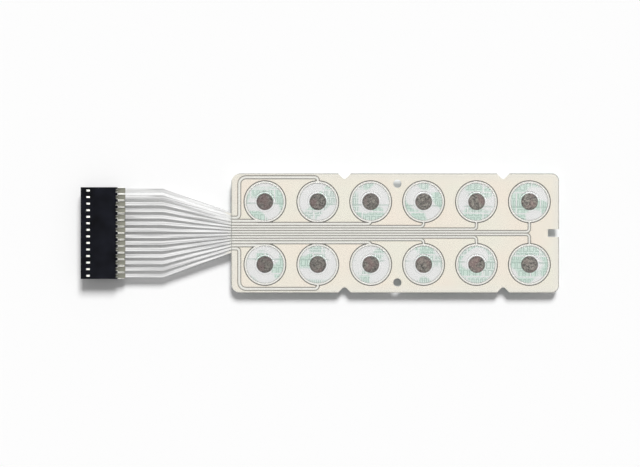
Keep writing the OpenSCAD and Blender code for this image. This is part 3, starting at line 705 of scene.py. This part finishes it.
class KEYPAD_OT_stage(bpy.types.Operator):
    """Floor, risers, light and camera"""

    bl_idname = "keypad.stage"
    bl_label = "Stage"

    def execute(self, context):
        sizes = context.scene.keypad_sizes
        context.scene.view_settings.view_transform = "Standard"
        paper = self.studio_paper(context.scene.keypad_colours)
        self.floor(sizes, paper)
        self.risers(sizes, paper)
        self.light(context.scene, sizes)
        self.camera(context.scene, sizes)
        return {"FINISHED"}

    def studio_paper(self, colours):
        """Matt paper, so pale that little but a shadow shows on it."""
        material, tree = start_material("matt_studio_paper")
        surface = add(tree, "ShaderNodeBsdfDiffuse", {"Color": colours.floor})
        add(tree, "ShaderNodeOutputMaterial", {"Surface": surface.outputs[0]})
        return material

    def floor(self, sizes, paper):
        """A plain floor, as far below the part as the risers are high."""
        half = sizes.floor_reach
        low = -sizes.riser_height
        corners = [(-half, -half, low), (half, -half, low), (half, half, low), (-half, half, low)]
        mesh = bpy.data.meshes.new("floor")
        mesh.from_pydata(corners, [], [(0, 1, 2, 3)])
        floor = new_object("floor", mesh, paper)

    def risers(self, sizes, paper):
        """Low blocks that hold the part off the floor for a soft drop shadow."""
        for carried in ("release_liner", "connector_housing"):
            least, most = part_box(carried)
            middle = (least + most) / 2
            inset = min(sizes.riser_inset, (most.x - least.x) / 3)
            size = Vector((most.x - least.x - 2 * inset, most.y - least.y - 2 * inset, sizes.riser_height))
            block = bmesh.new()
            bmesh.ops.create_cube(block, size=1.0)
            bmesh.ops.scale(block, vec=size, verts=block.verts)
            bmesh.ops.translate(block, vec=(middle.x, middle.y, -sizes.riser_height / 2), verts=block.verts)
            riser = new_object("riser_" + carried, finished_mesh("riser", block), paper)

    def light(self, scene, sizes):
        """A soft main light from the panel's upper edge, and a sky."""
        sun = bpy.data.lights.new("main_light", "SUN")
        sun.energy = sizes.sun_energy
        sun.angle = sizes.sun_spread
        lamp = bpy.data.objects.new("main_light", sun)
        scene.collection.objects.link(lamp)
        # Gloss mirrors the soft box of the sky in place of this lamp
        lamp.visible_glossy = False
        away = self.towards(sizes.sun_height, sizes.sun_turn)
        lamp.rotation_euler = (-away).to_track_quat("-Z", "Y").to_euler()
        self.sky(scene, sizes)

    def towards(self, height, turn):
        """The direction at an angle above the floor and at a turn from +Y towards +X."""
        flat = math.cos(height)
        return Vector((math.sin(turn) * flat, math.cos(turn) * flat, math.sin(height)))

    def sky(self, scene, sizes):
        """An even fill, which camera and gloss see as white. Gloss also sees a long bright soft box there, on
        the main light's side."""
        world = bpy.data.worlds.new("studio")
        scene.world = world
        world.use_nodes = True
        tree = world.node_tree
        tree.nodes.clear()
        path = add(tree, "ShaderNodeLightPath")
        seen = add(tree, "ShaderNodeMath", {0: path.outputs["Is Camera Ray"],
                                            1: path.outputs["Is Glossy Ray"]}, operation="MAXIMUM")
        fill = add(tree, "ShaderNodeBackground", {"Color": WHITE, "Strength": sizes.fill_level})
        # Shares of a direction over which the soft box fades in sideways, and at its lower and upper edge
        lean_start, lean_full = 0.12, 0.3
        soft = 0.06
        ray = add(tree, "ShaderNodeTexCoord").outputs["Generated"]
        side = add(tree, "ShaderNodeVectorMath", {0: ray, 1: self.towards(0.0, sizes.sun_turn)},
                   operation="DOT_PRODUCT")
        lit = add(tree, "ShaderNodeMapRange", {"Value": side.outputs["Value"], "From Min": lean_start,
                                               "From Max": lean_full,
                                               "To Max": path.outputs["Is Glossy Ray"]})
        height = add(tree, "ShaderNodeSeparateXYZ", {"Vector": ray}).outputs["Z"]
        low, high = math.sin(sizes.box_low), math.sin(sizes.box_high)
        for edge, inside in ((low, low + soft), (high, high - soft)):
            lit = add(tree, "ShaderNodeMapRange", {"Value": height, "From Min": edge, "From Max": inside,
                                                   "To Max": lit.outputs[0]})
        level = add(tree, "ShaderNodeMath", {0: lit.outputs[0], 1: sizes.box_level, 2: sizes.white_level},
                    operation="MULTIPLY_ADD")
        white = add(tree, "ShaderNodeBackground", {"Color": WHITE, "Strength": level.outputs[0]})
        mixed = add(tree, "ShaderNodeMixShader", {0: seen.outputs[0], 1: fill.outputs[0],
                                                  2: white.outputs[0]})
        add(tree, "ShaderNodeOutputWorld", {"Surface": mixed.outputs[0]})

    def camera(self, scene, sizes):
        """A camera straight above the part, as far off as the picture's width and the lens ask."""
        data = bpy.data.cameras.new("camera")
        data.lens = sizes.lens
        camera = bpy.data.objects.new("camera", data)
        scene.collection.objects.link(camera)
        away = IMAGE_WIDTH * sizes.pixel * sizes.lens / data.sensor_width
        camera.location = (-sizes.camera_x, -sizes.camera_y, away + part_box("spacer")[1].z)
        scene.camera = camera


class KEYPAD_OT_backing(bpy.types.Operator):
    """Release liner and rear adhesive"""

    bl_idname = "keypad.backing"
    bl_label = "Backing"

    def execute(self, context):
        sizes, colours = context.scene.keypad_sizes, context.scene.keypad_colours
        finish_nodes(["release_liner"], printed_liner_paper(sizes, colours))
        finish_nodes(["rear_adhesive"], acrylic_adhesive(sizes, colours))
        return {"FINISHED"}


class KEYPAD_OT_circuit(bpy.types.Operator):
    """Circuit film with its tail, and the inks printed on it"""

    bl_idname = "keypad.circuit"
    bl_label = "Circuit"

    def execute(self, context):
        sizes, colours = context.scene.keypad_sizes, context.scene.keypad_colours
        clear = clear_film("clear_circuit_polyester", colours, colours.film, haze=0.01, gloss=0.3,
                           lines=tail_edges, strength=0.4)
        mesh = thinner_copy("circuit_film", sizes.film_gap)
        film = place_piece("circuit_sheet", mesh, clear)
        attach(film, BASE_BODY)
        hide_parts("circuit_film")
        finish_nodes(["ground_plane"], cream_ground_ink(sizes, colours))
        finish_nodes(TRACES + ["fixed_contacts"], silver_trace_ink(colours))
        return {"FINISHED"}


class KEYPAD_OT_spacer(bpy.types.Operator):
    """Adhesive spacer between the films"""

    bl_idname = "keypad.spacer"
    bl_label = "Spacer"

    def execute(self, context):
        sizes, colours = context.scene.keypad_sizes, context.scene.keypad_colours
        first, hole = centre_of(PADS[0]), KEY_SPACING / 2
        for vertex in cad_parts["spacer"].data.vertices:
            hole = min(hole, (vertex.co - first).xy.length)
        # Acrylic adhesive, cast thin: hazy, with no gloss of its own between the films
        cut = clear_film("translucent_acrylic_adhesive", colours, colours.spacer, haze=0.05, gloss=0.0,
                         lines=ring_line(hole, sizes.cut_width), strength=0.4)
        spacer = place_piece("spacer_sheet", thinner_copy("spacer", sizes.film_gap), cut)
        pass_light(spacer)
        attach(spacer, BASE_BODY)
        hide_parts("spacer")
        return {"FINISHED"}


class KEYPAD_OT_domes(bpy.types.Operator):
    """Clear upper film with its formed domes"""

    bl_idname = "keypad.domes"
    bl_label = "Domes"

    def execute(self, context):
        sizes, colours = context.scene.keypad_sizes, context.scene.keypad_colours
        profile = dome_profile(centre_of(PADS[0]))
        dome_r, flat_top = profile[0]
        plateau = profile[-1][1]
        top_r = max(radius for radius, height in profile if plateau - height < SAME)
        laminated = clear_film("clear_laminated_polyester", colours, colours.film, haze=0.01, gloss=0.4,
                               lines=sheet_edges, strength=0.35)
        # Painted shade at the foot of each dome's step, darker on its +Y side
        crease = ring_line(top_r + sizes.step_width, sizes.step_shade_width, least=0.2)
        # Both faces of a dome meet air, so it shines more than the laminated sheet
        formed = clear_film("clear_formed_polyester", colours, colours.film, haze=0.01, gloss=1.4,
                            lines=crease, strength=0.4)
        thickness = flat_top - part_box("dome_film")[0].z
        sheet = place_piece("dome_sheet", self.sheet_mesh(dome_r), laminated)
        pass_light(sheet)
        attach(sheet, BASE_BODY)
        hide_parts("dome_film")
        for number, pad in enumerate(PADS, start=1):
            centre = centre_of(pad)
            mesh = turned_shell("dome", centre, profile, thickness - sizes.film_gap,
                                sizes.dome_segments, sizes.dome_steps)
            dome = place_piece(f"dome_{number}", mesh, formed)
            pass_light(dome)
            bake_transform(dome)
            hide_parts("dome_film")
        return {"FINISHED"}

    def sheet_mesh(self, dome_r):
        """The CAD film without the faces of its domes."""
        sheet = bmesh.new()
        sheet.from_mesh(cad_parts["dome_film"].data)
        centres = [centre_of(pad) for pad in PADS]
        formed = [face for face in sheet.faces
                  if any((face.calc_center_median() - c).xy.length < dome_r for c in centres)]
        bmesh.ops.delete(sheet, geom=formed, context="FACES")
        return finished_mesh("dome_sheet", sheet)


class KEYPAD_OT_pads(bpy.types.Operator):
    """Carbon contact pads under the domes"""

    bl_idname = "keypad.pads"
    bl_label = "Pads"

    def execute(self, context):
        sizes = context.scene.keypad_sizes
        carbon = carbon_pad(sizes, context.scene.keypad_colours)
        for number, node in enumerate(PADS, start=1):
            mesh = ragged_disc("pad", node, sizes.pad_rings, sizes.dome_segments, sizes.pad_ragged,
                               sizes.pad_grain)
            pad = place_piece(f"pad_{number}", mesh, carbon)
            pass_light(pad)
            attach(pad, f"key_{number}")
            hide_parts(node)
        return {"FINISHED"}


class KEYPAD_OT_connector(bpy.types.Operator):
    """Socket housing and crimp terminals"""

    bl_idname = "keypad.connector"
    bl_label = "Connector"

    def execute(self, context):
        colours = context.scene.keypad_colours
        finish_nodes(["connector_housing"], moulded_nylon(colours))
        finish_nodes(TERMINALS, tin_plate(colours))
        return {"FINISHED"}


class KEYPAD_PT_parts(bpy.types.Panel):
    """Lists the keypad's parts"""

    bl_idname = "KEYPAD_PT_parts"
    bl_label = "Membrane Keypad"
    bl_space_type = "VIEW_3D"
    bl_region_type = "UI"
    bl_category = "Keypad"

    def draw(self, context):
        for operator in OPERATORS:
            self.layout.operator(operator.bl_idname)


OPERATORS = (KEYPAD_OT_stage, KEYPAD_OT_backing, KEYPAD_OT_circuit, KEYPAD_OT_spacer, KEYPAD_OT_domes,
             KEYPAD_OT_pads, KEYPAD_OT_connector)
CLASSES = (KeypadSizes, KeypadColours) + OPERATORS + (KEYPAD_PT_parts,)


def register():
    for cls in CLASSES:
        bpy.utils.register_class(cls)
    bpy.types.Scene.keypad_sizes = PointerProperty(type=KeypadSizes)
    bpy.types.Scene.keypad_colours = PointerProperty(type=KeypadColours)


def unregister():
    del bpy.types.Scene.keypad_colours
    del bpy.types.Scene.keypad_sizes
    for cls in reversed(CLASSES):
        bpy.utils.unregister_class(cls)


def main():
    register()
    bpy.ops.keypad.stage()
    bpy.ops.keypad.backing()
    bpy.ops.keypad.circuit()
    bpy.ops.keypad.spacer()
    bpy.ops.keypad.domes()
    bpy.ops.keypad.pads()
    bpy.ops.keypad.connector()


if __name__ == "__main__":
    main()
